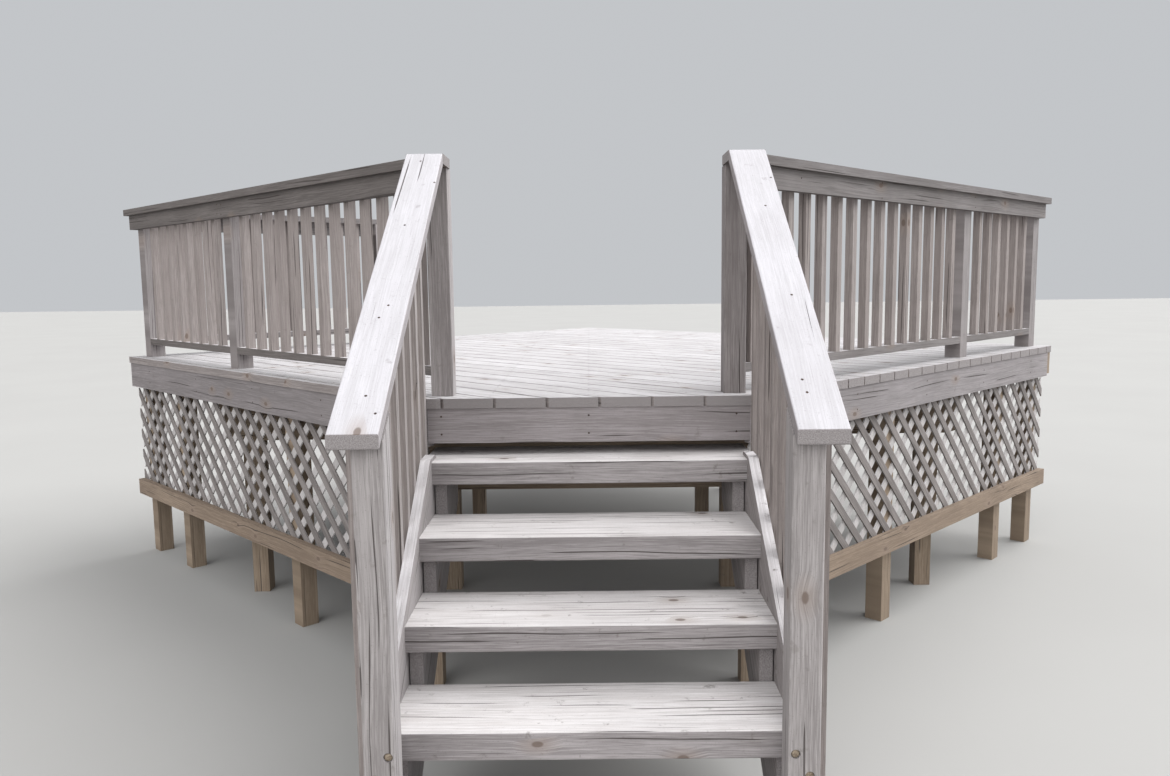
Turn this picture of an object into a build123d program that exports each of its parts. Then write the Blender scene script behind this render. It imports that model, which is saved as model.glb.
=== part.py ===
"""Timber deck stairs with the corner of the deck that carries them.

Millimetres, +Z up. The pieces are worked out from the stairs' centre line, on
the ground straight below the deck's front edge, with -Y towards the foot of the
stairs. At export they are moved back so that the origin is in the middle.
"""
import os
from math import atan2, ceil, cos, sqrt

from build123d import *

# Sawn timber
BOARD = 38.0                 # thickness of planks and rails
PLANK_WIDTH = 140.0          # deck boards, caps, joists
RAIL_WIDTH = 89.0
POST = 89.0                  # square posts
POST_ARRIS = 3.0
BALUSTER = 38.0              # square balusters

# Treads
TREAD_COUNT = 5
TREAD_LENGTH = 1219.0
TREAD_DEPTH = 337.0
TREAD_THICKNESS = 89.0
TREAD_ROUNDING = 6.0
RISE = 214.0
FIRST_RISE = 230.0           # from the deck down to the first tread
NOSING = 40.0                # how far a tread stands out in front of its riser cut
FIRST_TREAD_FRONT = 141.0    # how far the first tread stands out in front of the deck
EAR_FRONT = 30.0             # front of the first tread's wide part, before the deck
EAR_ROUNDING = 12.0

# Stringers and skirt boards
STRINGER_THICKNESS = 44.0
STRINGER_DEPTH = 286.0
STRINGER_GAP = 5.0           # between stringer and skirt board
SKIRT_DEPTH = 286.0
SKIRT_ABOVE_NOSINGS = 34.0   # plumb, over the line through the tread fronts
SKIRT_ABOVE_TREAD = 15.0     # level top beside the first tread
SKIRT_END = 37.0             # upper end, in front of the deck
SKIRT_BEND = 60.0            # radius where the level top meets the slope
SKIRT_CORNER = 22.0

# Stair railing
LOWER_POST_IN = 67.5         # inner face, inside the treads' ends
UPPER_POST_IN = 58.5
POST_BEHIND_NOSING = 109.0   # lower post's back face, before the fourth tread's front
STAIR_CAP_IN = 63.5
STAIR_CAP_END = 44.0         # upper end, in front of the deck
STAIR_CAP_OVERHANG = 34.0    # past the lower post's front face
STAIR_CAP_ROUNDING = 5.0
STAIR_BALUSTERS = 9
STAIR_BALUSTER_PITCH = 129.0
TOP_BALUSTER_BACK = 5.0      # in front of the deck
BALUSTER_LAP = 190.0         # how far a baluster runs down over the skirt board
BOLT_HEAD_HOLE = 27.0
BOLT_HOLE_DEPTH = 7.0
BOLTS = ((20.0, 460.0), (60.0, 395.5))   # from the post's inner face, and height

# Deck platform, a square set at 45 degrees with its front corner cut off
BESIDE_SKIRT = 0.5           # front edge's end, outside the skirt board's face
DECK_REACH = 3828.0          # along each diagonal, from the front edge's middle
DECK_BOARD = 40.0
DECK_PITCH = 148.5
FIRST_JOINT = 44.5           # first joint between boards, from the left side
FASCIA_INSET = 6.0           # fascia's outer face, inside the boards' cut ends
SIDE_FASCIA = 155.0          # depth, lower than the rim behind it
FRONT_FASCIA = 141.0
JOIST_PITCH = 400.0
POST_CLEARANCE = 1.5         # round a railing post, in boards and joists

# Beams under the joists, and the posts that carry the deck
BEAM_DEPTH = 235.0
BEAM_INSET = 86.0
FRONT_BEAM_POST = 46.5       # post's middle, outside the skirt board's face
END_POST = 112.0             # an end post's middle, from the beam's short face
BEAM_ROWS = (                # share of the deck's depth, and shares of the way to the end posts
    (0.2745, (-1.0, -0.416, 0.416, 1.0)),
    (0.4988, (-1.0, -0.33, 0.33, 1.0)),
    (0.7204, (-1.0, 1.0)),
)
FIRST_SIDE_POST = 0.64       # share of the way to the second beam
LAST_SIDE_POST = 160.0       # from the side's far corner

# Deck railing
CAP_TOP = 950.0              # above the deck
CAP_OVERHANG = 25.0          # outside the top rail
CAP_TRIM_IN = 64.5           # inner end over the upper post, inside the treads' ends
BOTTOM_RAIL_Z = 82.0         # underside, above the deck
MIDDLE_POST_RIGHT = 2150.0   # along the side, from the platform's front corner
MIDDLE_POST_LEFT = 1904.0
RETURN_LENGTH = 1890.0
BALUSTER_PITCH = 133.0       # about, so that whole spaces come out between posts
FIRST_RIGHT = 2.0            # first baluster, clear of the upper post
FIRST_LEFT = 26.0
CAP_JOINT = 2560.0           # where the left cap is pieced
JOINT_GAP = 1.5

# Lattice skirt
SLAT_WIDTH = 38.0
SLAT_THICKNESS = 8.0
SLAT_PITCH = 97.0
LATTICE_BOTTOM = 820.0       # top edge of the board at its foot, below the deck
FOOT_BOARD = 97.0
SKIRT_GAP = 1.5              # lattice and foot board, beside the skirt board

# Worked out from the sizes above
DIAGONAL = sqrt(0.5)
DECK_TOP = FIRST_RISE + TREAD_COUNT * RISE
GOING = TREAD_DEPTH - NOSING
SLOPE = RISE / GOING
PLUMB = 1.0 / cos(atan2(RISE, GOING))
HALF_TREAD = TREAD_LENGTH / 2
SKIRT_OUTER = HALF_TREAD + BOARD
HALF_FRONT = SKIRT_OUTER + BESIDE_SKIRT
LOWER_POST_INNER = HALF_TREAD - LOWER_POST_IN
UPPER_POST_INNER = HALF_TREAD - UPPER_POST_IN
STAIR_CAP_INNER = HALF_TREAD - STAIR_CAP_IN
CAP_TRIM = HALF_TREAD - CAP_TRIM_IN
TREAD_BACK = TREAD_DEPTH - FIRST_TREAD_FRONT
FRAME_TOP = DECK_TOP - DECK_BOARD
FRAME_BOTTOM = FRAME_TOP - PLANK_WIDTH
BEAM_BOTTOM = FRAME_BOTTOM - BEAM_DEPTH
RAIL_INSET = FASCIA_INSET + BOARD
POST_INSET = RAIL_INSET + BOARD
CAP_INSET = RAIL_INSET - CAP_OVERHANG
CAP_INNER = CAP_INSET + PLANK_WIDTH
CAP_Z = DECK_TOP + CAP_TOP
UNDER_CAP = CAP_Z - BOARD
LOWER_POST_BACK = -(FIRST_TREAD_FRONT + (TREAD_COUNT - 2) * GOING + POST_BEHIND_NOSING)
LOWER_POST_FRONT = LOWER_POST_BACK - POST
STAIR_CAP_LOW = LOWER_POST_FRONT - STAIR_CAP_OVERHANG
NEAR = HALF_FRONT * DIAGONAL
SIDE_LENGTH = DECK_REACH - NEAR
CORNER_POST = SIDE_LENGTH - POST_INSET - POST
FRONT_MOST = -(FIRST_TREAD_FRONT + (TREAD_COUNT - 1) * GOING)
MIDDLE_Y = (DECK_REACH / DIAGONAL + FRONT_MOST) / 2


def block(x0, x1, y0, y1, z0, z1):
    """A box between two corners."""
    return Pos(x0, y0, z0) * Box(x1 - x0, y1 - y0, z1 - z0, align=(Align.MIN, Align.MIN, Align.MIN))


def upright_prism(points, z0, z1):
    """An outline in plan, raised from z0 to z1."""
    face = Pos(0, 0, z0) * Polygon(*points, align=None)
    return extrude(face, amount=z1 - z0, dir=(0, 0, 1))


def side_prism(points, x0, x1):
    """An outline in side view (Y, Z), from x0 to x1."""
    face = Plane.YZ.offset(x0) * Polygon(*points, align=None)
    return extrude(face, amount=x1 - x0, dir=(1, 0, 0))


def left_of(shape):
    """The left-hand twin of a right-hand piece."""
    return mirror(shape, about=Plane.YZ)


# Treads
def tread_front(number):
    return -(FIRST_TREAD_FRONT + (number - 1) * GOING)


def tread_top(number):
    return DECK_TOP - FIRST_RISE - (number - 1) * RISE


def nosing_line(y):
    """Height of the line through the tread fronts."""
    return tread_top(1) + (y + FIRST_TREAD_FRONT) * SLOPE


def plain_tread(number):
    front = tread_front(number)
    top = tread_top(number)
    tread = block(-HALF_TREAD, HALF_TREAD, front, front + TREAD_DEPTH, top - TREAD_THICKNESS, top)
    return fillet(tread.edges().filter_by(Axis.X), TREAD_ROUNDING)


def first_tread():
    """The top tread, wider behind the ends of the skirt boards."""
    top = tread_top(1)
    wide = block(-SKIRT_OUTER, SKIRT_OUTER, -EAR_FRONT, TREAD_BACK, top - TREAD_THICKNESS, top)
    wide = fillet(wide.edges().filter_by(Axis.Z), EAR_ROUNDING)
    return plain_tread(1) + wide


def last_tread():
    """The bottom tread, notched round both lower posts."""
    top = tread_top(TREAD_COUNT)
    notch = block(
        LOWER_POST_INNER, SKIRT_OUTER, FRONT_MOST - NOSING, LOWER_POST_BACK, top - TREAD_THICKNESS, top,
    )
    return plain_tread(TREAD_COUNT) - notch - left_of(notch)


# Stringers and skirt boards
def stringer():
    """A notched plank under the treads, cut plumb behind the lower post."""
    outer = HALF_TREAD - STRINGER_GAP
    outline = [(TREAD_BACK, tread_top(1) - TREAD_THICKNESS)]
    for number in range(1, TREAD_COUNT):
        riser = tread_front(number) + NOSING
        outline.append((riser, tread_top(number) - TREAD_THICKNESS))
        outline.append((riser, tread_top(number + 1) - TREAD_THICKNESS))
    outline.append((LOWER_POST_BACK, tread_top(TREAD_COUNT) - TREAD_THICKNESS))
    outline.append((LOWER_POST_BACK, 0))
    lower_line = nosing_line(-NOSING) - TREAD_THICKNESS - STRINGER_DEPTH * PLUMB
    outline.append((-lower_line / SLOPE, 0))
    outline.append((TREAD_BACK, lower_line + TREAD_BACK * SLOPE))
    return side_prism(outline, outer - STRINGER_THICKNESS, outer)


def skirt_board():
    """A plank on edge outside the tread ends, with a level, rounded top end."""
    level = tread_top(1) + SKIRT_ABOVE_TREAD
    bend = (SKIRT_ABOVE_TREAD - SKIRT_ABOVE_NOSINGS) / SLOPE - FIRST_TREAD_FRONT
    low = nosing_line(LOWER_POST_BACK) + SKIRT_ABOVE_NOSINGS
    high = nosing_line(-SKIRT_END) + SKIRT_ABOVE_NOSINGS
    depth = SKIRT_DEPTH * PLUMB
    outline = [
        (-SKIRT_END, level),
        (bend, level),
        (LOWER_POST_BACK, low),
        (LOWER_POST_BACK, low - depth),
        (-SKIRT_END, high - depth),
    ]
    board = side_prism(outline, HALF_TREAD, SKIRT_OUTER)
    for y, radius in ((bend, SKIRT_BEND), (-SKIRT_END, SKIRT_CORNER)):
        across = board.edges().filter_by(Axis.X)
        board = fillet(across.sort_by_distance((HALF_TREAD, y, level))[0], radius)
    return board


# Stair railing
def stair_cap_top(y):
    return CAP_Z + (y + STAIR_CAP_END) * SLOPE


def under_stair_cap(y):
    return stair_cap_top(y) - BOARD * PLUMB


def stair_cap():
    """The sloping handrail cap, its ends cut plumb."""
    outline = [
        (STAIR_CAP_LOW, stair_cap_top(STAIR_CAP_LOW)),
        (-STAIR_CAP_END, stair_cap_top(-STAIR_CAP_END)),
        (-STAIR_CAP_END, under_stair_cap(-STAIR_CAP_END)),
        (STAIR_CAP_LOW, under_stair_cap(STAIR_CAP_LOW)),
    ]
    cap = side_prism(outline, STAIR_CAP_INNER, STAIR_CAP_INNER + PLANK_WIDTH)
    worn = [edge for edge in cap.edges() if edge.length > 2 * PLANK_WIDTH]
    worn += cap.edges().filter_by(Axis.X).group_by(Axis.Y)[0]
    return fillet(worn, STAIR_CAP_ROUNDING)


def lower_post():
    """Square post from the ground to the cap, counterbored for two bolts."""
    outline = [
        (LOWER_POST_FRONT, 0),
        (LOWER_POST_BACK, 0),
        (LOWER_POST_BACK, under_stair_cap(LOWER_POST_BACK)),
        (LOWER_POST_FRONT, under_stair_cap(LOWER_POST_FRONT)),
    ]
    post = side_prism(outline, LOWER_POST_INNER, LOWER_POST_INNER + POST)
    post = chamfer(post.edges().filter_by(Axis.Z), POST_ARRIS)
    for inset, height in BOLTS:
        face = Plane(origin=(LOWER_POST_INNER + inset, LOWER_POST_FRONT, height), z_dir=(0, 1, 0))
        hole = Cylinder(BOLT_HEAD_HOLE / 2, BOLT_HOLE_DEPTH, align=(Align.CENTER, Align.CENTER, Align.MIN))
        post -= face * hole
    return post


def upper_post_box(clearance=0.0):
    return block(
        UPPER_POST_INNER - clearance, UPPER_POST_INNER + POST + clearance,
        POST_INSET - clearance, POST_INSET + POST + clearance,
        FRAME_BOTTOM, UNDER_CAP,
    )


def stair_top_rail():
    """A rail on edge under the cap, from post to post."""
    level_from = (UNDER_CAP + BOARD * PLUMB - CAP_Z) / SLOPE - STAIR_CAP_END
    depth = RAIL_WIDTH * PLUMB
    outline = [
        (LOWER_POST_BACK, under_stair_cap(LOWER_POST_BACK)),
        (level_from, UNDER_CAP),
        (POST_INSET, UNDER_CAP),
        (POST_INSET, under_stair_cap(POST_INSET) - depth),
        (LOWER_POST_BACK, under_stair_cap(LOWER_POST_BACK) - depth),
    ]
    return side_prism(outline, HALF_TREAD, SKIRT_OUTER)


def stair_balusters():
    """Square balusters on the outer faces of the top rail and the skirt board."""
    pieces = []
    for number in range(STAIR_BALUSTERS):
        back = -TOP_BALUSTER_BACK - number * STAIR_BALUSTER_PITCH
        front = back - BALUSTER
        foot = nosing_line(front) + SKIRT_ABOVE_NOSINGS - BALUSTER_LAP
        outline = [
            (front, foot),
            (back, foot),
            (back, min(under_stair_cap(back), UNDER_CAP)),
            (front, min(under_stair_cap(front), UNDER_CAP)),
        ]
        pieces.append(side_prism(outline, SKIRT_OUTER, SKIRT_OUTER + BALUSTER))
    return pieces


# Deck platform
FRONT, RIGHT, HOUSE, BACK, LEFT = range(5)


def in_plan(right, left):
    """A point in plan from its reaches along the two diagonals."""
    return ((right - left) * DIAGONAL, (right + left) * DIAGONAL)


def on_side(along, inset):
    """A point along the right side from its front corner, and inwards."""
    return in_plan(NEAR + along, inset - NEAR)


def on_return(along, inset):
    """A point along the side that follows from the far corner, and inwards."""
    return in_plan(DECK_REACH - inset, along - NEAR)


def platform(inset=0.0, house=0.0):
    """The deck's outline moved inwards, and by house on the house's side."""
    half_front = HALF_FRONT - inset * (sqrt(2) - 1)
    right = DECK_REACH - house
    left = DECK_REACH - inset
    return [
        (-half_front, inset),
        (half_front, inset),
        in_plan(right, inset - NEAR),
        in_plan(right, left),
        in_plan(inset - NEAR, left),
    ]


def edge_board(edge, outer, z0, z1):
    """A board on edge along one side of the platform, mitred at its corners."""
    outside = platform(outer, BOARD)
    inside = platform(outer + BOARD, BOARD)
    following = (edge + 1) % len(outside)
    outline = [outside[edge], outside[following], inside[following], inside[edge]]
    return upright_prism(outline, z0, z1)


def house_ledger():
    """The board that is bolted to the house wall."""
    near = FASCIA_INSET - NEAR
    far = DECK_REACH - FASCIA_INSET
    inner = DECK_REACH - BOARD
    outline = [in_plan(DECK_REACH, near), in_plan(DECK_REACH, far), in_plan(inner, far), in_plan(inner, near)]
    return upright_prism(outline, FRAME_BOTTOM, FRAME_TOP)


def bar(place, start, end, outer, inner, z0, z1):
    """A square-cut piece along a side, from outer to inner inset."""
    corners = ((start, outer), (end, outer), (end, inner), (start, inner))
    return upright_prism([place(along, inset) for along, inset in corners], z0, z1)


def rail_post(place, start, clearance=0.0):
    """A railing post, through the boards and down inside the rim."""
    return bar(
        place, start - clearance, start + POST + clearance,
        POST_INSET, POST_INSET + POST + clearance, FRAME_BOTTOM, UNDER_CAP,
    )


def post_holes():
    """The room that the railing posts take in the boards and joists."""
    upper = upper_post_box(POST_CLEARANCE)
    corner = rail_post(on_side, CORNER_POST, POST_CLEARANCE)
    holes = [upper, left_of(upper), corner, left_of(corner)]
    holes.append(rail_post(on_side, MIDDLE_POST_RIGHT, POST_CLEARANCE))
    holes.append(left_of(rail_post(on_side, MIDDLE_POST_LEFT, POST_CLEARANCE)))
    holes.append(left_of(rail_post(on_return, RETURN_LENGTH - POST, POST_CLEARANCE)))
    return holes


def largest(shape):
    return sorted(shape.solids(), key=lambda solid: solid.volume)[-1]


def deck_boards(holes):
    """Boards parallel to the left side, sawn off along the platform's edges."""
    floor = upright_prism(platform(), FRAME_TOP, DECK_TOP)
    first_joint = FIRST_JOINT - NEAR
    lower = ceil((first_joint + NEAR) / DECK_PITCH)
    upper = ceil((DECK_REACH - first_joint) / DECK_PITCH)
    boards = []
    for number in range(-lower, upper):
        low = first_joint + number * DECK_PITCH + (DECK_PITCH - PLANK_WIDTH) / 2
        high = min(low + PLANK_WIDTH, DECK_REACH)
        low = max(low, -NEAR)
        if high - low < BOARD:
            continue
        outline = [in_plan(low, -NEAR), in_plan(high, -NEAR), in_plan(high, DECK_REACH), in_plan(low, DECK_REACH)]
        board = upright_prism(outline, FRAME_TOP, DECK_TOP) & floor
        for hole in holes:
            board -= hole
        boards.append(largest(board))
    return boards


def joists(holes):
    """Joists from front to back, cut off at the rim and round the posts."""
    core = upright_prism(platform(POST_INSET, BOARD), FRAME_BOTTOM, FRAME_TOP)
    last = int(DECK_REACH * DIAGONAL / JOIST_PITCH)
    pieces = []
    for number in range(-last, last + 1):
        middle = number * JOIST_PITCH
        strip = block(middle - BOARD / 2, middle + BOARD / 2, 0, 2 * DECK_REACH, FRAME_BOTTOM, FRAME_TOP)
        joist = strip & core
        for hole in holes:
            joist -= hole
        pieces.append(largest(joist))
    return pieces


def beam_front(share):
    return share * DECK_REACH / DIAGONAL


def beams():
    """Deep beams across under the joists."""
    core = upright_prism(platform(BEAM_INSET, BEAM_INSET), BEAM_BOTTOM, FRAME_BOTTOM)
    pieces = []
    for front in [TREAD_BACK] + [beam_front(share) for share, _ in BEAM_ROWS]:
        across = block(-DECK_REACH, DECK_REACH, front, front + POST, BEAM_BOTTOM, FRAME_BOTTOM)
        pieces.append(largest(across & core))
    return pieces


def beam_posts():
    """Posts from the ground to the beams."""
    middle = SKIRT_OUTER + FRONT_BEAM_POST
    places = [(-middle, TREAD_BACK), (middle, TREAD_BACK)]
    for share, spread in BEAM_ROWS:
        front = beam_front(share)
        towards_sides = HALF_FRONT + front - BEAM_INSET / DIAGONAL
        towards_house = (DECK_REACH - BEAM_INSET) / DIAGONAL - front - POST
        reach = min(towards_sides, towards_house) - END_POST
        places += [(reach * part, front) for part in spread]
    return [block(x - POST / 2, x + POST / 2, y, y + POST, 0, BEAM_BOTTOM) for x, y in places]


def side_posts():
    """Posts under the side rim, against the back of the lattice, clear of the second beam."""
    outer = RAIL_INSET + 2 * SLAT_THICKNESS
    front = beam_front(BEAM_ROWS[0][0])
    before_beam = front / DIAGONAL - outer - POST
    behind_beam = (front + POST) / DIAGONAL - BEAM_INSET
    last = SIDE_LENGTH - LAST_SIDE_POST
    starts = (before_beam * FIRST_SIDE_POST, (behind_beam + last) / 2, last)
    return [bar(on_side, start, start + POST, outer, outer + POST, 0, FRAME_BOTTOM) for start in starts]


# Deck railing
def level_cap(far_corners):
    """The cap board on a side, with the level piece over the upper post that the stair cap meets."""
    outer_x = STAIR_CAP_INNER + PLANK_WIDTH
    outer_y = CAP_INSET / DIAGONAL - HALF_FRONT + outer_x
    inner_y = CAP_INNER / DIAGONAL - HALF_FRONT + CAP_TRIM
    outline = [(CAP_TRIM, inner_y), (CAP_TRIM, -STAIR_CAP_END), (outer_x, -STAIR_CAP_END), (outer_x, outer_y)]
    outline += [on_side(along, inset) for along, inset in far_corners]
    return upright_prism(outline, UNDER_CAP, CAP_Z)


def pieced(cap):
    """The cap sawn into two lengths that meet with a narrow joint."""
    saw = bar(on_side, CAP_JOINT, CAP_JOINT + JOINT_GAP, 0, 2 * PLANK_WIDTH, UNDER_CAP, CAP_Z)
    return list((cap - saw).solids())


def top_rail(place, corners):
    outline = [place(along, inset) for along, inset in corners]
    return upright_prism(outline, UNDER_CAP - RAIL_WIDTH, UNDER_CAP)


def bottom_rail(place, start, end, skew=0.0):
    """A flat rail between posts, its near end skewed to meet the upper post."""
    low = DECK_TOP + BOTTOM_RAIL_Z
    inner = POST_INSET + RAIL_WIDTH
    outline = [place(start, POST_INSET), place(end, POST_INSET), place(end, inner), place(start + skew, inner)]
    return upright_prism(outline, low, low + BOARD)


def side_bottom_rails(middle_post):
    """The two bottom rails of a side, from the upper post to the corner post."""
    first = POST_INSET - (HALF_FRONT - UPPER_POST_INNER - POST) / DIAGONAL
    near = bottom_rail(on_side, first, middle_post, RAIL_WIDTH)
    return [near, bottom_rail(on_side, middle_post + POST, CORNER_POST)]


def baluster(place, near):
    """A baluster that stands on the bottom rail."""
    low = DECK_TOP + BOTTOM_RAIL_Z + BOARD
    return bar(place, near, near + BALUSTER, POST_INSET, POST_INSET + BALUSTER, low, UNDER_CAP)


def balusters(place, start, end, first=1):
    """Balusters evenly spaced between two posts."""
    spaces = round((end - start) / BALUSTER_PITCH)
    pitch = (end - start) / spaces
    return [baluster(place, start + number * pitch - BALUSTER / 2) for number in range(first, spaces)]


def side_balusters(clearance, middle_post):
    """The balusters of one side, the first of them beside the upper post."""
    post_outer = UPPER_POST_INNER + POST
    beside_post = POST_INSET + BALUSTER + (post_outer - HALF_FRONT) / DIAGONAL
    row = balusters(on_side, beside_post + clearance + BALUSTER / 2, middle_post, 0)
    return row + balusters(on_side, middle_post + POST, CORNER_POST)


# Lattice skirt
def lattice():
    """Two layers of slats at 45 degrees, joined where they cross."""
    top = FRAME_BOTTOM
    bottom = DECK_TOP - LATTICE_BOTTOM - FOOT_BOARD
    end = SIDE_LENGTH - FASCIA_INSET
    height = top - bottom
    step = SLAT_PITCH / DIAGONAL
    half = SLAT_WIDTH / DIAGONAL / 2
    start = (SKIRT_OUTER + SKIRT_GAP - HALF_FRONT) / DIAGONAL + RAIL_INSET + 2 * SLAT_THICKNESS
    window = Polygon((start, bottom), (end, bottom), (end, top), (start, top), align=None)
    count = int((end - start + height) / step)
    slats = []
    for layer in (0, 1):
        for number in range(count):
            left = start - height + (number + 0.5) * step
            feet = (left, left + height) if layer == 0 else (left + height, left)
            corners = ((feet[0] - half, bottom), (feet[0] + half, bottom), (feet[1] + half, top), (feet[1] - half, top))
            face = Plane.XZ * (Polygon(*corners, align=None) & window)
            slat = extrude(face, amount=SLAT_THICKNESS, dir=(0, 1, 0))
            slats.append(Pos(0, layer * SLAT_THICKNESS, 0) * slat)
    panel = slats[0].fuse(*slats[1:])
    corner = on_side(0, RAIL_INSET)
    return Pos(corner[0], corner[1], 0) * Rot(0, 0, 45) * panel


def foot_board():
    """The board along the foot of the lattice."""
    top = DECK_TOP - LATTICE_BOTTOM
    start = (SKIRT_OUTER + SKIRT_GAP - HALF_FRONT) / DIAGONAL
    end = SIDE_LENGTH - FASCIA_INSET
    outline = [
        on_side(start + FASCIA_INSET, FASCIA_INSET),
        on_side(end, FASCIA_INSET),
        on_side(end, RAIL_INSET),
        on_side(start + RAIL_INSET, RAIL_INSET),
    ]
    return upright_prism(outline, top - FOOT_BOARD, top)


def export(name, shape):
    if isinstance(shape, list):
        shape = Compound(children=shape)
    export_step(Pos(0, -MIDDLE_Y, 0) * shape, f"parts/{name}.step")


def export_left(name, shapes):
    export(name, [left_of(shape) for shape in shapes])


def export_pair(name, shape):
    """A right-hand piece, or a list of them, and the left-hand twin."""
    export(f"{name}_right", shape)
    if isinstance(shape, list):
        export_left(f"{name}_left", shape)
    else:
        export(f"{name}_left", left_of(shape))


def export_stairs():
    export("tread_1", first_tread())
    for number in range(2, TREAD_COUNT):
        export(f"tread_{number}", plain_tread(number))
    export(f"tread_{TREAD_COUNT}", last_tread())
    export_pair("stringer", stringer())
    export_pair("skirt_board", skirt_board())
    export_pair("lower_post", lower_post())
    export_pair("upper_post", chamfer(upper_post_box().edges().filter_by(Axis.Z), POST_ARRIS))
    export_pair("stair_cap", stair_cap())
    export_pair("stair_top_rail", stair_top_rail())
    export_pair("stair_balusters", stair_balusters())


def export_platform():
    holes = post_holes()
    export("deck_boards", deck_boards(holes))
    export("joists", joists(holes))
    export("front_fascia", edge_board(FRONT, FASCIA_INSET, FRAME_TOP - FRONT_FASCIA, FRAME_TOP))
    for name, edge in (("right", RIGHT), ("back", BACK), ("left", LEFT)):
        export(f"{name}_fascia", edge_board(edge, FASCIA_INSET, FRAME_TOP - SIDE_FASCIA, FRAME_TOP))
    export("house_ledger", house_ledger())
    for name, edge in (("front", FRONT), ("right", RIGHT), ("back", BACK), ("left", LEFT)):
        rim = edge_board(edge, RAIL_INSET, FRAME_BOTTOM, FRAME_TOP)
        rim -= upper_post_box()
        rim -= left_of(upper_post_box())
        export(f"{name}_rim", rim)
    export("beams", beams())
    export("beam_posts", beam_posts())
    export_pair("side_posts", side_posts())
    export_pair("lattice", lattice())
    export_pair("lattice_foot_board", foot_board())


def export_side_railings():
    corner = rail_post(on_side, CORNER_POST)
    last_post = rail_post(on_return, RETURN_LENGTH - POST)
    export("railing_posts_right", [rail_post(on_side, MIDDLE_POST_RIGHT), corner])
    export_left("railing_posts_left", [rail_post(on_side, MIDDLE_POST_LEFT), corner, last_post])

    right_end = CORNER_POST + POST
    cap_end = right_end + CAP_OVERHANG
    export("rail_cap_right", level_cap(((cap_end, CAP_INSET), (cap_end, CAP_INNER))))
    mitre = ((SIDE_LENGTH - CAP_INSET, CAP_INSET), (SIDE_LENGTH - CAP_INNER, CAP_INNER))
    export_left("rail_cap_left", pieced(level_cap(mitre)))

    outer_start = (RAIL_INSET, RAIL_INSET)
    inner_start = (POST_INSET, POST_INSET)
    whole = top_rail(on_side, (outer_start, (right_end, RAIL_INSET), (right_end, POST_INSET), inner_start))
    export("railing_rails_right", side_bottom_rails(MIDDLE_POST_RIGHT) + [whole])
    joint = MIDDLE_POST_LEFT + POST / 2
    near = top_rail(on_side, (outer_start, (joint, RAIL_INSET), (joint, POST_INSET), inner_start))
    joint += JOINT_GAP
    mitre = ((SIDE_LENGTH - RAIL_INSET, RAIL_INSET), (SIDE_LENGTH - POST_INSET, POST_INSET))
    far = top_rail(on_side, ((joint, RAIL_INSET),) + mitre + ((joint, POST_INSET),))
    export_left("railing_rails_left", side_bottom_rails(MIDDLE_POST_LEFT) + [near, far])

    export("railing_balusters_right", side_balusters(FIRST_RIGHT, MIDDLE_POST_RIGHT))
    export_left("railing_balusters_left", side_balusters(FIRST_LEFT, MIDDLE_POST_LEFT))


def export_return_railing():
    cap_end = RETURN_LENGTH + CAP_OVERHANG
    corners = ((CAP_INSET, CAP_INSET), (cap_end, CAP_INSET), (cap_end, CAP_INNER), (CAP_INNER, CAP_INNER))
    cap = upright_prism([on_return(along, inset) for along, inset in corners], UNDER_CAP, CAP_Z)
    export("return_cap", left_of(cap))
    top = top_rail(on_return, (
        (RAIL_INSET, RAIL_INSET), (RETURN_LENGTH, RAIL_INSET), (RETURN_LENGTH, POST_INSET), (POST_INSET, POST_INSET),
    ))
    start = POST_INSET + POST
    end = RETURN_LENGTH - POST
    export_left("return_rails", [top, bottom_rail(on_return, start, end)])
    export_left("return_balusters", balusters(on_return, start, end))


os.makedirs("parts", exist_ok=True)
export_stairs()
export_platform()
export_side_railings()
export_return_railing()
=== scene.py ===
import math

import bpy
from mathutils import Matrix, Vector


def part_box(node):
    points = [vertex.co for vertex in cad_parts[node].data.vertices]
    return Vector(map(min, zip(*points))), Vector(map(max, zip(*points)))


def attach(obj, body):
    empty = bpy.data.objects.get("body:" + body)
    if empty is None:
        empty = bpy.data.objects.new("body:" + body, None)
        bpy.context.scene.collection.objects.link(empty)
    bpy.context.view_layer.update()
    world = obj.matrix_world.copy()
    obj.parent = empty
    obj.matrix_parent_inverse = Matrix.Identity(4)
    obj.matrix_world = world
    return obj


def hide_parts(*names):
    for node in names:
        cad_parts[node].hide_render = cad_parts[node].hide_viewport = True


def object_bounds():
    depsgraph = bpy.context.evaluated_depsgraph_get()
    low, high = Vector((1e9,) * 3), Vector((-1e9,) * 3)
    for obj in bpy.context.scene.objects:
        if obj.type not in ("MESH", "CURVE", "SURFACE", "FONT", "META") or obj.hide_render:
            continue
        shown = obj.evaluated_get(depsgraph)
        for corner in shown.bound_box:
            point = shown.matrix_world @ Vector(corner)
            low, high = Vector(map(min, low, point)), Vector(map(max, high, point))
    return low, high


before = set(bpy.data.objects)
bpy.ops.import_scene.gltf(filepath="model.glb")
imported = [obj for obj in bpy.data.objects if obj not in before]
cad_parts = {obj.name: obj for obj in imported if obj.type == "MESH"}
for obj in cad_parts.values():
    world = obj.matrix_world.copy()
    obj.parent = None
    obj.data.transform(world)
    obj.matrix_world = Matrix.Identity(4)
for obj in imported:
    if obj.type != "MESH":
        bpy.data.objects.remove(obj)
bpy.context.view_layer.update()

# The treads are five planks of heavy sawn timber, stained a warm grey long ago and
# bleached by the weather. Their tops are pale, partly from that bleaching and partly
# painted light; they show knots, drying cracks and raised grain, and their front edges
# kept more of the stain.


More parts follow.
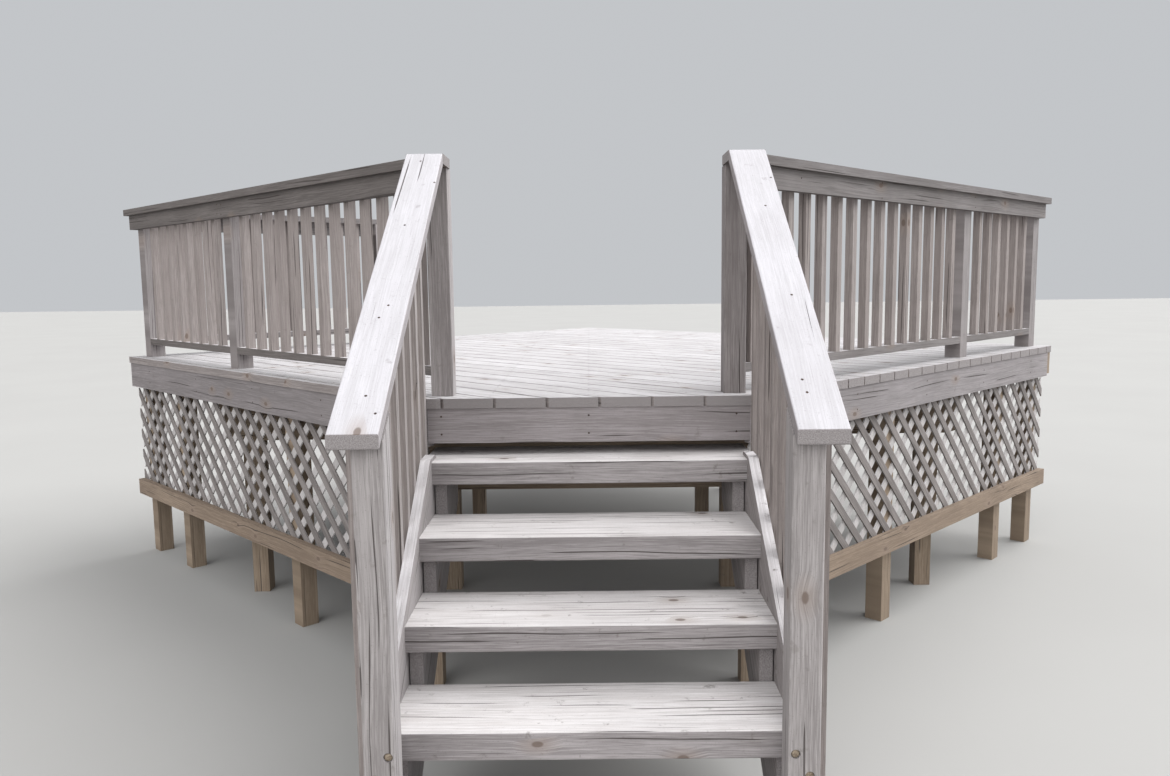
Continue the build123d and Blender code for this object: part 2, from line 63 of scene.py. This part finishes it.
class Value:
    """A number that varies over a surface. Sums written on it add Math nodes."""

    def __init__(self, finish, socket):
        self.finish = finish
        self.socket = socket

    def __add__(self, other):
        return self.finish.maths("ADD", self, other)

    def __radd__(self, other):
        return self.finish.maths("ADD", other, self)

    def __sub__(self, other):
        return self.finish.maths("SUBTRACT", self, other)

    def __rsub__(self, other):
        return self.finish.maths("SUBTRACT", other, self)

    def __mul__(self, other):
        return self.finish.maths("MULTIPLY", self, other)

    def __rmul__(self, other):
        return self.finish.maths("MULTIPLY", other, self)

    def __abs__(self):
        return self.finish.maths("ABSOLUTE", self)


class Finish:
    """A material with its shader, and one method that adds any node to it."""

    def __init__(self, name, roughness=0.85, metallic=0.0):
        self.material = bpy.data.materials.new(name)
        self.material.use_nodes = True
        self.tree = self.material.node_tree
        self.tree.nodes.clear()
        self.shader = self.tree.nodes.new("ShaderNodeBsdfPrincipled")
        self.shader.inputs["Roughness"].default_value = roughness
        self.shader.inputs["Metallic"].default_value = metallic
        self.shader.inputs["Specular IOR Level"].default_value = 0.25
        end = self.tree.nodes.new("ShaderNodeOutputMaterial")
        self.tree.links.new(self.shader.outputs[0], end.inputs["Surface"])

    def node(self, kind, settings, sockets, output=0):
        made = self.tree.nodes.new(kind)
        for key, value in settings.items():
            setattr(made, key, value)
        for key, value in sockets.items():
            if isinstance(value, Value):
                self.tree.links.new(value.socket, made.inputs[key])
            else:
                made.inputs[key].default_value = value
        return Value(self, made.outputs[output])

    def maths(self, operation, *values):
        return self.node("ShaderNodeMath", {"operation": operation}, dict(enumerate(values)))

    def band(self, value, low, high):
        """Goes smoothly from 0 at low to 1 at high."""
        return self.node("ShaderNodeMapRange", {"interpolation_type": "SMOOTHSTEP"}, {
            "Value": value, "From Min": low, "From Max": high,
        })

    def place(self):
        return self.node("ShaderNodeTexCoord", {}, {}, "Object")

    def reach(self, place, direction):
        """How far a place lies along a direction."""
        sockets = {0: place, 1: direction}
        return self.node("ShaderNodeVectorMath", {"operation": "DOT_PRODUCT"}, sockets, "Value")

    def vector(self, x, y, z=0.0):
        return self.node("ShaderNodeCombineXYZ", {}, {0: x, 1: y, 2: z})

    def noise(self, vector, scale=1.0, detail=2.0, rough=0.5):
        return self.node("ShaderNodeTexNoise", {}, {
            "Vector": vector, "Scale": scale, "Detail": detail, "Roughness": rough,
        })

    def fibres(self, u, s, per_metre, detail=2.0, rough=0.5):
        """Noise drawn out along the grain, by its cells per metre along and across it."""
        along, across = per_metre
        return self.noise(self.vector(u * along, s * across), 1.0, detail, rough)

    def draw(self, number):
        """A random share, the same for the same number."""
        return self.node("ShaderNodeTexWhiteNoise", {"noise_dimensions": "1D"}, {"W": number}, "Value")

    def blend(self, factor, under, over):
        """One colour laid over another."""
        return self.node("ShaderNodeMix", {"data_type": "RGBA"}, {0: factor, 6: under, 7: over}, 2)

    def looks(self, direction, low, high):
        """1 where the surface looks along a direction, 0 where it looks away."""
        normal = self.node("ShaderNodeNewGeometry", {}, {}, "True Normal")
        return self.band(self.reach(normal, direction), low, high)

    def paint(self, colour, height=None, depth=0.001):
        self.tree.links.new(colour.socket, self.shader.inputs["Base Color"])
        if height is not None:
            bump = self.node("ShaderNodeBump", {}, {"Height": height, "Strength": 0.7, "Distance": depth})
            self.tree.links.new(bump.socket, self.shader.inputs["Normal"])


def shade(red, green, blue):
    """A colour given as it looks on a screen, 0 to 255."""
    return tuple(((part / 255 + 0.055) / 1.055) ** 2.4 for part in (red, green, blue)) + (1.0,)


ACROSS = Vector((1, 0, 0))
UP = Vector((0, 0, 1))
BACK = Vector((0, 1, 0))
END_GRAIN = (shade(112, 107, 106), shade(146, 141, 141))
KNOT_RING = shade(134, 118, 106)
KNOT_HEART = shade(92, 78, 70)
CRACK_DARK = shade(58, 52, 50)
DIRT = shade(92, 85, 80)

# Cells per metre, along and across the grain.
FINE_FIBRES = (14, 380)
FIBRE_LINES = (3.4, 165)
BROAD_BANDS = (0.9, 17)
YEAR_RINGS = (1.3, 62)
WANDERING = (0.9, 3.2)
KNOT_CELLS = (4.6, 8.0)
# Cells per metre, the same every way.
SPECKLES = 210.0
STAIN_CLOUDS = 3.6
DIRT_SPOTS = 24.0
PORES = 330.0
# How strongly each of them tells in the colour.
BAND_TONE = 0.25
RING_TONE = 0.45
CLOUD_TONE = 0.25
SPECKLE_TONE = 0.35
KNOT_TONE = 0.7
CRACK_TONE = 0.85
# Metres by which the grain wanders and bends round a knot.
WANDER = 0.06
KNOT_BEND = 0.05
# A knot's radius, as a share of its cell.
KNOT_RADIUS = 0.36
# Rows across the grain in which drying cracks open, and how wide they open, in rows.
CRACK_ROWS = 42.0
CRACK_WIDTH = 0.105
# How far on in the timber the next piece was cut, along and across.
NEXT_ALONG = 23.0
NEXT_ACROSS = 7.0
GRAIN_DEPTH = 0.0012


def timber(
    name, along, across, side, top, lots=None, seed=0.0,
    cracks=0.5, knots=0.12, dirt=0.3, painted_right_light=0.3, spread=0.3, streaks=1.0, ends=END_GRAIN,
):
    """Weathered timber whose grain runs along one direction."""
    wood = Finish(name)
    place = wood.place()
    out = along.cross(across)
    u = wood.reach(place, along) + seed * 3.1
    s = wood.reach(place, across + out) + seed * 1.7
    if lots is None:
        stand = wood.vector(wood.reach(place, ACROSS + UP * 0.3) + seed, wood.reach(place, BACK))
        lot = wood.band(wood.noise(stand, 2.2, 1.0), 0.3, 0.7)
    else:
        direction, pitch, start = lots
        counted = wood.maths("FLOOR", (wood.reach(place, direction) - start) * (1 / pitch))
        lot = wood.draw(counted + seed * 10)
        u = u + lot * NEXT_ALONG
        s = s + lot * NEXT_ACROSS
    s = s + (wood.fibres(u, s, WANDERING) - 0.5) * WANDER

    cells = {"Vector": wood.vector(u * KNOT_CELLS[0], s * KNOT_CELLS[1]), "Scale": 1.0}
    flat = {"voronoi_dimensions": "2D"}
    distance = wood.node("ShaderNodeTexVoronoi", flat, cells, "Distance")
    colour = wood.node("ShaderNodeTexVoronoi", flat, cells, "Color")
    drawn = wood.node("ShaderNodeSeparateColor", {}, {0: colour})
    chosen = wood.band(drawn, 1 - knots, 1.01 - knots)
    swell = wood.maths("MAXIMUM", KNOT_RADIUS - distance, 0.0) * chosen
    heart = wood.band(distance, 0.10, 0.06) * chosen
    s = s + swell * KNOT_BEND

    fine = wood.fibres(u, s, FINE_FIBRES, 2.0, 0.6)
    lines = wood.fibres(u, s, FIBRE_LINES, 3.0, 0.65)
    bands = wood.fibres(u, s, BROAD_BANDS)
    rings = wood.band(abs(wood.fibres(u, s, YEAR_RINGS, 1.0) - 0.5), 0.040, 0.008)
    speckle = wood.noise(place, SPECKLES, 2.0, 0.7)
    clouds = wood.band(wood.noise(place, STAIN_CLOUDS, 4.0, 0.6), 0.36, 0.70)
    spots = wood.band(wood.noise(place, DIRT_SPOTS, 4.0, 0.65), 0.62, 0.74)
    pores = wood.band(wood.noise(place, PORES, 3.0, 0.6), 0.30, 0.70)

    row = s * CRACK_ROWS
    number = wood.maths("FLOOR", row)
    offset = abs(wood.maths("FRACT", row) - 0.5)
    stretch = wood.noise(wood.vector(u * 1.7 + wood.draw(number) * 40.0, number * 3.7), 1.0, 1.0)
    opening = wood.band(stretch, 0.61 - cracks * 0.10, 0.72 - cracks * 0.10)
    crack = wood.band(opening * CRACK_WIDTH - offset, 0.0, 0.03)

    grain = wood.band(fine * 0.3 + lines * 0.45 + bands * 0.25, 0.40, 0.60)
    sides = wood.blend(grain, side[0], side[1])
    # Faces looking to the right (+X) are laid toward the pale top colour: painted light, standing in for
    # light falling from the right.
    sides = wood.blend(wood.looks(ACROSS, 0.5, 0.9) * painted_right_light, sides, top[1])
    tops = wood.blend(grain, top[0], top[1])
    upward = wood.looks(UP, 0.3, 0.75)
    whole = wood.blend(upward, sides, tops)
    worn = wood.blend(upward * 0.55, side[0], top[0])
    whole = wood.blend(wood.band(bands, 0.5, 0.72) * (BAND_TONE * streaks), whole, worn)
    whole = wood.blend(rings * (RING_TONE * streaks), whole, worn)
    whole = wood.blend(clouds * CLOUD_TONE, whole, worn)
    whole = wood.blend(lot * spread, whole, worn)
    whole = wood.blend(wood.band(speckle, 0.60, 0.74) * SPECKLE_TONE, whole, DIRT)
    whole = wood.blend(spots * dirt, whole, DIRT)
    whole = wood.blend(swell * 1.3, whole, KNOT_RING)
    whole = wood.blend(heart * KNOT_TONE, whole, KNOT_HEART)
    whole = wood.blend(crack * CRACK_TONE, whole, CRACK_DARK)
    sawn = wood.maths("MAXIMUM", wood.looks(along, 0.62, 0.70), wood.looks(-along, 0.62, 0.70))
    whole = wood.blend(sawn, whole, wood.blend(pores, ends[0], ends[1]))
    height = (fine * 0.35 + lines * 0.35 - crack * 1.6 + heart * 0.2) * (1 - sawn) + speckle * 0.15
    wood.paint(whole, height, GRAIN_DEPTH)
    return wood.material


def finish_nodes(names, material):
    for name in names:
        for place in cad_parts[name].material_slots:
            place.material = material


TREAD_SIDE = (shade(124, 119, 119), shade(162, 157, 157))
# Tread tops: partly weather-bleached timber, partly painted light, made paler to make up for the shade the
# treads cast on one another.
TREAD_TOP_BLEACHED_AND_LIT = (shade(190, 185, 184), shade(212, 209, 209))
TREAD_RISE = 0.214
BELOW_TREADS = 0.10
tread_timber = timber(
    "tread_timber", ACROSS, BACK, TREAD_SIDE, TREAD_TOP_BLEACHED_AND_LIT, (UP, TREAD_RISE, BELOW_TREADS),
    cracks=0.9, knots=0.07, dirt=0.5, spread=0.15,
)
finish_nodes([f"tread_{number}" for number in range(1, 6)], tread_timber)

# The stringers and skirt boards are planks on edge that run down the slope. The
# stringers are notched under the treads; the skirt boards close the treads' ends,
# the right one dirtier than the left.
STAIN = (shade(120, 114, 113), shade(154, 148, 147))
BLEACHED = (shade(178, 174, 175), shade(204, 201, 203))
TREAD_GOING = 0.297
SLOPE = Vector((0, TREAD_GOING, TREAD_RISE)).normalized()
edge_grain = SLOPE.cross(ACROSS)
stringer_timber = timber("stringer_timber", SLOPE, edge_grain, STAIN, BLEACHED, cracks=0.5, dirt=0.5)
skirt_left = timber("skirt_left_timber", SLOPE, edge_grain, STAIN, BLEACHED, seed=1.0, dirt=0.2)
skirt_right = timber("skirt_right_timber", SLOPE, edge_grain, STAIN, BLEACHED, seed=2.0, dirt=1.0)
finish_nodes(["stringer_left", "stringer_right"], stringer_timber)
finish_nodes(["skirt_board_left"], skirt_left)
finish_nodes(["skirt_board_right"], skirt_right)

# The posts are square timber set upright, the lower pair standing on the ground in
# front of the stringers. Long drying cracks run up the left one, and two round bolt
# heads sit in counterbores in each.
POST_SIDE = (shade(124, 119, 118), shade(160, 155, 154))
post_left = timber(
    "post_left_timber", UP, ACROSS, POST_SIDE, BLEACHED, seed=3.0, cracks=1.5, knots=0.1, spread=0.1,
)
post_right = timber(
    "post_right_timber", UP, ACROSS, POST_SIDE, BLEACHED, seed=4.4, cracks=0.3, knots=0.1, spread=0.1,
)
UPPER_LEFT = (shade(129, 123, 122), shade(163, 157, 156))
UPPER_RIGHT = (shade(108, 102, 101), shade(142, 136, 135))
upper_left = timber(
    "upper_left_timber", UP, ACROSS, UPPER_LEFT, BLEACHED, seed=5.0, cracks=0.7, knots=0.1,
)
upper_right = timber(
    "upper_right_timber", UP, ACROSS, UPPER_RIGHT, BLEACHED, seed=5.3, cracks=0.7, knots=0.1,
)
finish_nodes(["lower_post_left"], post_left)
finish_nodes(["lower_post_right"], post_right)
finish_nodes(["upper_post_left"], upper_left)
finish_nodes(["upper_post_right"], upper_right)

BOLT_RADIUS = 0.0123
BOLT_RINGS = ((1.0, 0.0), (0.98, 0.0018), (0.85, 0.0038), (0.5, 0.0053), (0.18, 0.0058))
BOLT_SIDES = 24
BOLTS = ((0.562, 0.460), (0.602, 0.3955))
COUNTERBORE_DEPTH = 0.007
COUNTERBORE_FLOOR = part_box("lower_post_left")[0].y + COUNTERBORE_DEPTH


def bolt_metal():
    metal = Finish("bolt_metal", roughness=0.6, metallic=0.35)
    rust = metal.band(metal.noise(metal.place(), 160.0, 4.0, 0.7), 0.4, 0.7)
    metal.paint(metal.blend(rust, shade(146, 134, 118), shade(98, 82, 68)), rust, 0.0004)
    return metal.material


def mesh_piece(name, points, faces, material, smooth=False):
    mesh = bpy.data.meshes.new(name)
    mesh.from_pydata(points, [], faces)
    mesh.materials.append(material)
    if smooth:
        for face in mesh.polygons:
            face.use_smooth = True
    mesh.update()
    piece = bpy.data.objects.new(name, mesh)
    bpy.context.scene.collection.objects.link(piece)
    return piece


def round_heads(name, places, rings, sides, material):
    """Domed heads, each at a place with the direction it looks and its radius."""
    points = []
    faces = []
    for centre, looks, radius in places:
        looks = Vector(looks).normalized()
        first = looks.orthogonal().normalized()
        second = looks.cross(first)
        start = len(points)
        for share, rise in rings:
            for number in range(sides):
                angle = 2 * math.pi * number / sides
                spoke = first * math.cos(angle) + second * math.sin(angle)
                points.append(Vector(centre) + spoke * (radius * share) + looks * rise)
        for ring in range(len(rings) - 1):
            for number in range(sides):
                low = start + ring * sides
                following = (number + 1) % sides
                faces.append((low + number, low + following, low + sides + following, low + sides + number))
        faces.append([start + (len(rings) - 1) * sides + number for number in range(sides)])
    return mesh_piece(name, points, faces, material, smooth=True)


bolt_places = []
for x, z in BOLTS:
    for hand in (-1, 1):
        bolt_places.append(((hand * x, COUNTERBORE_FLOOR, z), -BACK, BOLT_RADIUS))
bolt_heads = round_heads("bolt_heads", bolt_places, BOLT_RINGS, BOLT_SIDES, bolt_metal())
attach(bolt_heads, "root")

# The stair caps are flat boards nailed over sloping rails on edge. The sun has
# bleached their tops almost white; dark nail heads and short drying cracks show.
CAP_STAIN = (shade(126, 120, 120), shade(156, 150, 151))
CAP_BLEACHED = (shade(170, 168, 171), shade(184, 182, 186))
cap_left = timber(
    "cap_left_timber", SLOPE, ACROSS, CAP_STAIN, CAP_BLEACHED, seed=6.0, cracks=-0.1, knots=0.1, spread=0.1,
    streaks=0.45,
)
cap_right = timber(
    "cap_right_timber", SLOPE, ACROSS, CAP_STAIN, CAP_BLEACHED, seed=7.0, cracks=-0.3, knots=0.1, spread=0.1,
    streaks=0.45,
)
finish_nodes(["stair_cap_left"], cap_left)
finish_nodes(["stair_cap_right"], cap_right)
finish_nodes(["stair_top_rail_left", "stair_top_rail_right"], stringer_timber)

NAIL_RADIUS = 0.0042
NAIL_RINGS = ((1.0, 0.0), (0.9, 0.0004), (0.4, 0.0005))
NAIL_SIDES = 10
CAP_NAILS = (
    (-0.6197, -2.4919, 1.9578), (-0.6056, -2.8572, 1.6945), (-0.6246, -2.9062, 1.6592),
    (-0.6044, -3.1863, 1.4574), (-0.5668, -3.2430, 1.4166), (-0.6229, -2.1319, 2.2172),
    (-0.5520, -2.2610, 2.1241), (0.6740, -2.2571, 2.1269), (0.6258, -2.4135, 2.0143),
    (0.6290, -2.8338, 1.7114), (0.5920, -3.1489, 1.4844), (0.5962, -3.1911, 1.4540),
)


def nail_metal():
    metal = Finish("nail_metal", roughness=0.7, metallic=0.3)
    rust = metal.band(metal.noise(metal.place(), 240.0, 3.0, 0.7), 0.4, 0.7)
    metal.paint(metal.blend(rust, shade(62, 56, 54), shade(84, 60, 44)), rust, 0.0002)
    return metal.material


nail_iron = nail_metal()
cap_normal = ACROSS.cross(SLOPE)
cap_places = [(place, cap_normal, NAIL_RADIUS) for place in CAP_NAILS]
cap_nails = round_heads("cap_nails", cap_places, NAIL_RINGS, NAIL_SIDES, nail_iron)
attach(cap_nails, "root")

# The balusters of the stairs are square bars nailed to the outer faces of the
# sloping rail and the skirt board. Each was cut from another length of timber.
BALUSTER_SIDE = (shade(120, 112, 109), shade(152, 144, 141))
BALUSTER_PITCH = 0.129
FIRST_BALUSTER = -2.1308
for hand, seed in (("left", 8.0), ("right", 9.0)):
    bars = timber(
        f"stair_baluster_{hand}_timber", UP, ACROSS, BALUSTER_SIDE, BLEACHED,
        (BACK, BALUSTER_PITCH, FIRST_BALUSTER), seed, cracks=0.6, knots=0.1,
    )
    finish_nodes([f"stair_balusters_{hand}"], bars)

# The deck floor is laid with boards side by side, each its own tone, nailed twice
# over every joist and sawn off along the edges.
FLOOR_SIDE = (shade(116, 109, 107), shade(148, 141, 139))
FLOOR_TOP = (shade(168, 165, 166), shade(196, 194, 196))
RIGHTWARD = Vector((1, 1, 0)).normalized()
LEFTWARD = Vector((-1, 1, 0)).normalized()
BOARD_PITCH = 0.1485
FIRST_JOINT = 0.0318198 - 1.4441
floor_timber = timber(
    "floor_timber", LEFTWARD, RIGHTWARD, FLOOR_SIDE, FLOOR_TOP, (RIGHTWARD, BOARD_PITCH, FIRST_JOINT),
    cracks=0.6, knots=0.12, spread=0.25,
)
finish_nodes(["deck_boards"], floor_timber)

JOIST_PITCH = 0.4
JOISTS = range(-6, 7)
BOARDS = range(-4, 27)
HALF_FRONT = 0.648
NAIL_SHARES = (0.2, 0.8)
NAIL_TO_SIDE = 0.08
NAIL_TO_FRONT = 0.03
FLOOR_NAIL_SIDES = 8
floor_low, floor_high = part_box("deck_boards")
floor_nails = []
for joist in JOISTS:
    x = joist * JOIST_PITCH
    for number in BOARDS:
        for share in NAIL_SHARES:
            right = FIRST_JOINT + (number + share) * BOARD_PITCH
            y = right * math.sqrt(2) - x
            to_front = y - floor_low.y
            to_side = to_front - (abs(x) - HALF_FRONT)
            to_back = (floor_high.y - y) - abs(x)
            if to_side > NAIL_TO_SIDE and to_back > NAIL_TO_SIDE and to_front > NAIL_TO_FRONT:
                floor_nails.append(((x, y, floor_high.z), UP, NAIL_RADIUS))
deck_nails = round_heads("deck_nails", floor_nails, NAIL_RINGS[::2], FLOOR_NAIL_SIDES, nail_iron)
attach(deck_nails, "root")

# Fascia and rim boards go round the platform on edge, mitred at the corners and
# nailed through. Their stain is darker and more even than the posts'.
FASCIA_STAIN = (shade(124, 118, 118), shade(154, 148, 149))
front_timber = timber("front_timber", ACROSS, UP, FASCIA_STAIN, BLEACHED, seed=1.5, cracks=0.3, knots=0.15)
SIDE_STAIN = (shade(108, 103, 103), shade(138, 132, 133))
right_timber = timber("right_timber", RIGHTWARD, UP, SIDE_STAIN, BLEACHED, seed=2.5, cracks=0.1)
left_timber = timber("left_timber", LEFTWARD, UP, SIDE_STAIN, BLEACHED, seed=3.5, cracks=0.1)
finish_nodes(["front_fascia", "front_rim"], front_timber)
finish_nodes(["right_fascia", "right_rim", "back_fascia", "back_rim"], right_timber)
finish_nodes(["left_fascia", "left_rim"], left_timber)

CORNER_ALONG = 0.4582
DECK_FRONT = floor_low.y
ROOT_HALF = math.sqrt(0.5)


def on_side(hand, along, inset, z):
    """A place on the left (-1) or right (1) side, and the way that side looks."""
    right = CORNER_ALONG + along
    left = inset - CORNER_ALONG
    place = (hand * (right - left) * ROOT_HALF, (right + left) * ROOT_HALF + DECK_FRONT, z)
    return place, (hand * ROOT_HALF, -ROOT_HALF, 0)


FRONT_NAILS_X = (-0.591, 0.0, 0.591)
FRONT_NAILS_Z = (1.155, 1.227)
SIDE_NAILS_ALONG = (0.12, 0.86, 1.58, 2.31, 3.04)
SIDE_NAILS_Z = (1.150, 1.222)
FASCIA_INSET = 0.006
fascia_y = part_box("front_fascia")[0].y
fascia_places = []
for x in FRONT_NAILS_X:
    for z in FRONT_NAILS_Z:
        fascia_places.append(((x, fascia_y, z), -BACK, NAIL_RADIUS))
for hand in (-1, 1):
    for along in SIDE_NAILS_ALONG:
        for z in SIDE_NAILS_Z:
            fascia_places.append((*on_side(hand, along, FASCIA_INSET, z), NAIL_RADIUS))
fascia_nails = round_heads("fascia_nails", fascia_places, NAIL_RINGS, NAIL_SIDES, nail_iron)
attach(fascia_nails, "root")

# The framing under the floor was never stained: bare sawn timber gone tan and
# grey in the shade, joists on beams and beams on posts that stand on the ground.
BARE = (shade(112, 98, 84), shade(150, 135, 118))
joist_timber = timber("joist_timber", BACK, ACROSS, BARE, BARE, ends=BARE)
beam_timber = timber("beam_timber", ACROSS, UP, BARE, BARE, ends=BARE)
bare_post_timber = timber("bare_post_timber", UP, ACROSS, BARE, BARE, ends=BARE)
ledger_timber = timber("ledger_timber", LEFTWARD, UP, BARE, BARE, ends=BARE)
finish_nodes(["joists"], joist_timber)
finish_nodes(["beams"], beam_timber)
finish_nodes(["beam_posts", "side_posts_left", "side_posts_right"], bare_post_timber)
finish_nodes(["house_ledger"], ledger_timber)

# The deck railings have the same make as the stairs': posts through the floor, a
# rail on edge outside them, a flat rail low down, square balusters and a level cap.
# The rails' dark colour is partly stain and partly painted shade, standing in for the cap's shadow on them;
# the deck caps' sides share this colour.
RAIL_STAIN_AND_SHADE = (shade(84, 79, 77), shade(112, 106, 104))
RAIL_BARS = (("left", LEFTWARD, 0.1346, -0.8995), ("right", RIGHTWARD, 0.1347, -0.9236))
for seed, (hand, direction, pitch, start) in enumerate(RAIL_BARS):
    other = RIGHTWARD if hand == "left" else LEFTWARD
    rail = timber(f"rail_{hand}_timber", direction, UP, RAIL_STAIN_AND_SHADE, BLEACHED, seed=seed + 4.5)
    cap = timber(f"deck_cap_{hand}_timber", direction, other, RAIL_STAIN_AND_SHADE, CAP_BLEACHED, seed=seed + 6.5)
    # The deck balusters take only a little of the painted light on their right-facing faces.
    bars = timber(
        f"baluster_{hand}_timber", UP, direction, BALUSTER_SIDE, BLEACHED,
        (direction, pitch, start), seed + 8.5, knots=0.06, painted_right_light=0.1, spread=0.45,
    )
    finish_nodes([f"railing_rails_{hand}"], rail)
    finish_nodes([f"rail_cap_{hand}"], cap)
    finish_nodes([f"railing_balusters_{hand}"], bars)
    if hand == "right":
        finish_nodes(["return_rails"], rail)
        finish_nodes(["return_cap"], cap)
        finish_nodes(["return_balusters"], bars)
finish_nodes(["railing_posts_left", "railing_posts_right"], upper_right)

RAIL_NAILS = (
    (1, 0.413, 2.180), (1, 1.117, 2.205), (1, 1.119, 2.134), (1, 2.190, 2.196), (1, 2.198, 2.141),
    (1, 3.238, 2.192), (1, 3.246, 2.143), (-1, 1.921, 2.192), (-1, 1.924, 2.140), (-1, 1.972, 2.196),
    (-1, 1.975, 2.146), (-1, 3.240, 2.194), (-1, 3.247, 2.139),
)
RAIL_INSET = 0.044
rail_places = [(*on_side(hand, along, RAIL_INSET, z), NAIL_RADIUS) for hand, along, z in RAIL_NAILS]
rail_nails = round_heads("rail_nails", rail_places, NAIL_RINGS, NAIL_SIDES, nail_iron)
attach(rail_nails, "root")

# The skirt under the deck is bought lattice: thin slats in two layers, stapled
# where they cross, with a bare plank nailed along its foot.
SLATS_FRONT = (shade(100, 95, 93), shade(130, 124, 122))
# The rear slats are coloured much paler than the front ones: painted light, which also makes up for the
# front slats' shadow on them.
SLATS_BEHIND_PAINTED_LIGHT = (shade(190, 187, 186), shade(216, 213, 213))
SLAT_THICKNESS = 0.008
LAYER_EDGE = 0.0005


def lattice_timber(name, side, hand, outer_falls=False):
    """Slats in two layers, each with its own way of the grain; the rear layer's much paler tone is painted
    light.
    """
    wood = Finish(name)
    place = wood.place()
    u = wood.reach(place, side)
    w = wood.reach(place, UP)
    inward = Vector((-side.y * hand, side.x * hand, 0))
    depth = wood.reach(place, inward)
    face = min(inward.dot(corner.co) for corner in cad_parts[f"lattice_{name}"].data.vertices)
    seam = face + SLAT_THICKNESS
    behind = wood.band(depth, seam - LAYER_EDGE, seam + LAYER_EDGE)
    outer, inner = (u - w, u + w) if outer_falls else (u + w, u - w)
    along = wood.node("ShaderNodeMix", {}, {0: behind, 2: outer, 3: inner})
    across = wood.node("ShaderNodeMix", {}, {0: behind, 2: inner, 3: outer})
    fine = wood.noise(wood.vector(along * 5, across * 180, depth * 20), 1.0, 3.0, 0.6)
    broad = wood.noise(wood.vector(along * 2, across * 14), 1.0, 2.0)
    grain = wood.band(fine * 0.5 + broad * 0.5, 0.36, 0.64)
    front = wood.blend(grain, SLATS_FRONT[0], SLATS_FRONT[1])
    # Rear layer: painted light, much paler than the front layer.
    rear_painted_light = wood.blend(grain, SLATS_BEHIND_PAINTED_LIGHT[0], SLATS_BEHIND_PAINTED_LIGHT[1])
    wood.paint(wood.blend(behind, front, rear_painted_light), fine, 0.0008)
    return wood.material


def turned_panel(name, node, outward, material):
    """A node's own panel turned inside out, so that its inner slats are outside."""
    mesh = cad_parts[node].data
    depths = [outward.dot(corner.co) for corner in mesh.vertices]
    middle = (min(depths) + max(depths)) / 2
    points = []
    for corner, depth in zip(mesh.vertices, depths):
        points.append(corner.co - outward * (2 * (depth - middle)))
    faces = [tuple(reversed(face.vertices)) for face in mesh.polygons]
    return mesh_piece(name, points, faces, material)


right_finish = lattice_timber("right", RIGHTWARD, 1, outer_falls=True)
right_panel = turned_panel("lattice_panel_right", "lattice_right", -LEFTWARD, right_finish)
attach(right_panel, "root")
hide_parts("lattice_right")
finish_nodes(["lattice_left"], lattice_timber("left", LEFTWARD, -1))
FOOT_BARE = (shade(110, 96, 84), shade(146, 130, 114))
foot_right = timber("foot_right_timber", RIGHTWARD, UP, FOOT_BARE, FOOT_BARE, knots=0.25, ends=BARE)
foot_left = timber("foot_left_timber", LEFTWARD, UP, FOOT_BARE, FOOT_BARE, knots=0.25, ends=BARE)
finish_nodes(["lattice_foot_board_right"], foot_right)
finish_nodes(["lattice_foot_board_left"], foot_left)

# The stage: a plain pale floor, soft light from above, the right and the front, and
# the camera at the foot of the stairs.
FLOOR_REACH = 60.0
BELOW_POSTS = 0.0005
PALE = (shade(150, 149, 147), shade(156, 155, 153))
ground = Finish("ground", roughness=0.95)
ground.paint(ground.blend(ground.noise(ground.place(), 0.6, 2.0), PALE[0], PALE[1]))
corners = [(x * FLOOR_REACH, y * FLOOR_REACH, 0.0) for x, y in ((-1, -1), (1, -1), (1, 1), (-1, 1))]
floor = mesh_piece("floor", corners, [(0, 1, 2, 3)], ground.material)
floor.location.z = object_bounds()[0][2] - BELOW_POSTS

world = bpy.data.worlds.new("sky")
world.use_nodes = True
sky = world.node_tree.nodes["Background"]
sky.inputs["Color"].default_value = shade(236, 239, 243)
sky.inputs["Strength"].default_value = 0.65
bpy.context.scene.world = world


def soft_light(name, comes_from, strength, width):
    light = bpy.data.lights.new(name, "SUN")
    light.energy = strength
    light.angle = math.radians(width)
    holder = bpy.data.objects.new(name, light)
    holder.rotation_euler = Vector(comes_from).to_track_quat("Z", "Y").to_euler()
    bpy.context.scene.collection.objects.link(holder)


soft_light("overhead", (0.0, -0.25, 1.0), 1.5, 100)
soft_light("from_right", (0.70, 0.20, 0.68), 4.4, 70)
soft_light("from_front", (-0.35, -0.90, 0.30), 2.4, 80)

CAMERA_PLACE = Vector((0.0083, -5.6556, 1.7626))
TURN = -0.0060
TILT = 0.1172
ROLL = -0.0122
PHOTO_WIDTH = 1170
FOCAL_PIXELS = 914.02
SENSOR_WIDTH = 36.0
facing = Vector((math.sin(TURN), math.cos(TURN), 0))
forward = facing * math.cos(TILT) - UP * math.sin(TILT)
level = Vector((math.cos(TURN), -math.sin(TURN), 0))
above = level.cross(forward)
right = level * math.cos(ROLL) + above * math.sin(ROLL)
top = above * math.cos(ROLL) - level * math.sin(ROLL)
lens = bpy.data.cameras.new("camera")
lens.sensor_width = SENSOR_WIDTH
lens.lens = SENSOR_WIDTH * FOCAL_PIXELS / PHOTO_WIDTH
lens.clip_end = 200.0
camera = bpy.data.objects.new("camera", lens)
camera.matrix_world = Matrix((
    (right.x, top.x, -forward.x, CAMERA_PLACE.x),
    (right.y, top.y, -forward.y, CAMERA_PLACE.y),
    (right.z, top.z, -forward.z, CAMERA_PLACE.z),
    (0, 0, 0, 1),
))
bpy.context.scene.collection.objects.link(camera)
bpy.context.scene.camera = camera
bpy.context.scene.view_settings.view_transform = "Standard"
